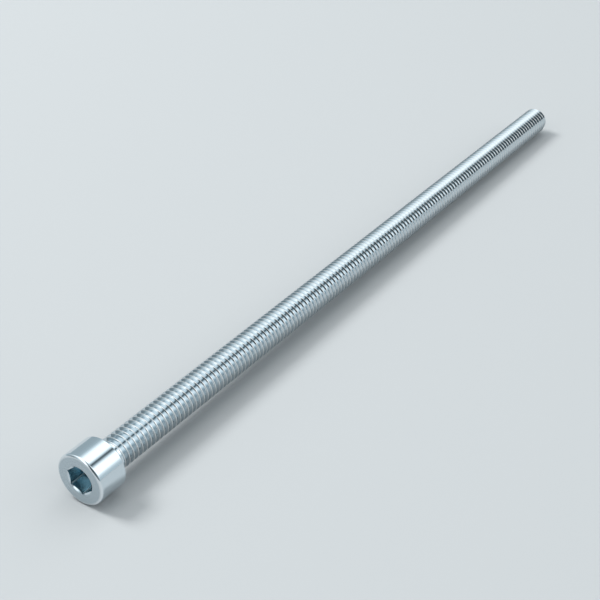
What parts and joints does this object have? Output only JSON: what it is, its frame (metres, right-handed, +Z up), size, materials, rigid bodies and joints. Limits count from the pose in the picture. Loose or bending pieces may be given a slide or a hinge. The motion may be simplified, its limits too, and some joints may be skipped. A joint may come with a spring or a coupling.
{
  "type": "socket head bolt",
  "caption": "Long socket head bolt: a round head with a hexagon socket, a short plain neck and a right-hand thread along the whole shank, ending in a chamfer.",
  "frame": {"origin": "on the surface that the bolt lies on, under the middle of its length", "axes": "+X along the bolt from its head to its end, +Y across it, +Z up; the axis leans 0.66 degrees down towards the end, because the head is wider than the thread"},
  "size_m": [1.0004, 0.0578, 0.0584],
  "materials": {
    "zinc_plated_steel": "bright zinc plating, smooth and semi-gloss"
  },
  "bodies": {
    "root": {"bolt": "zinc_plated_steel"}
  },
  "joints": []
}
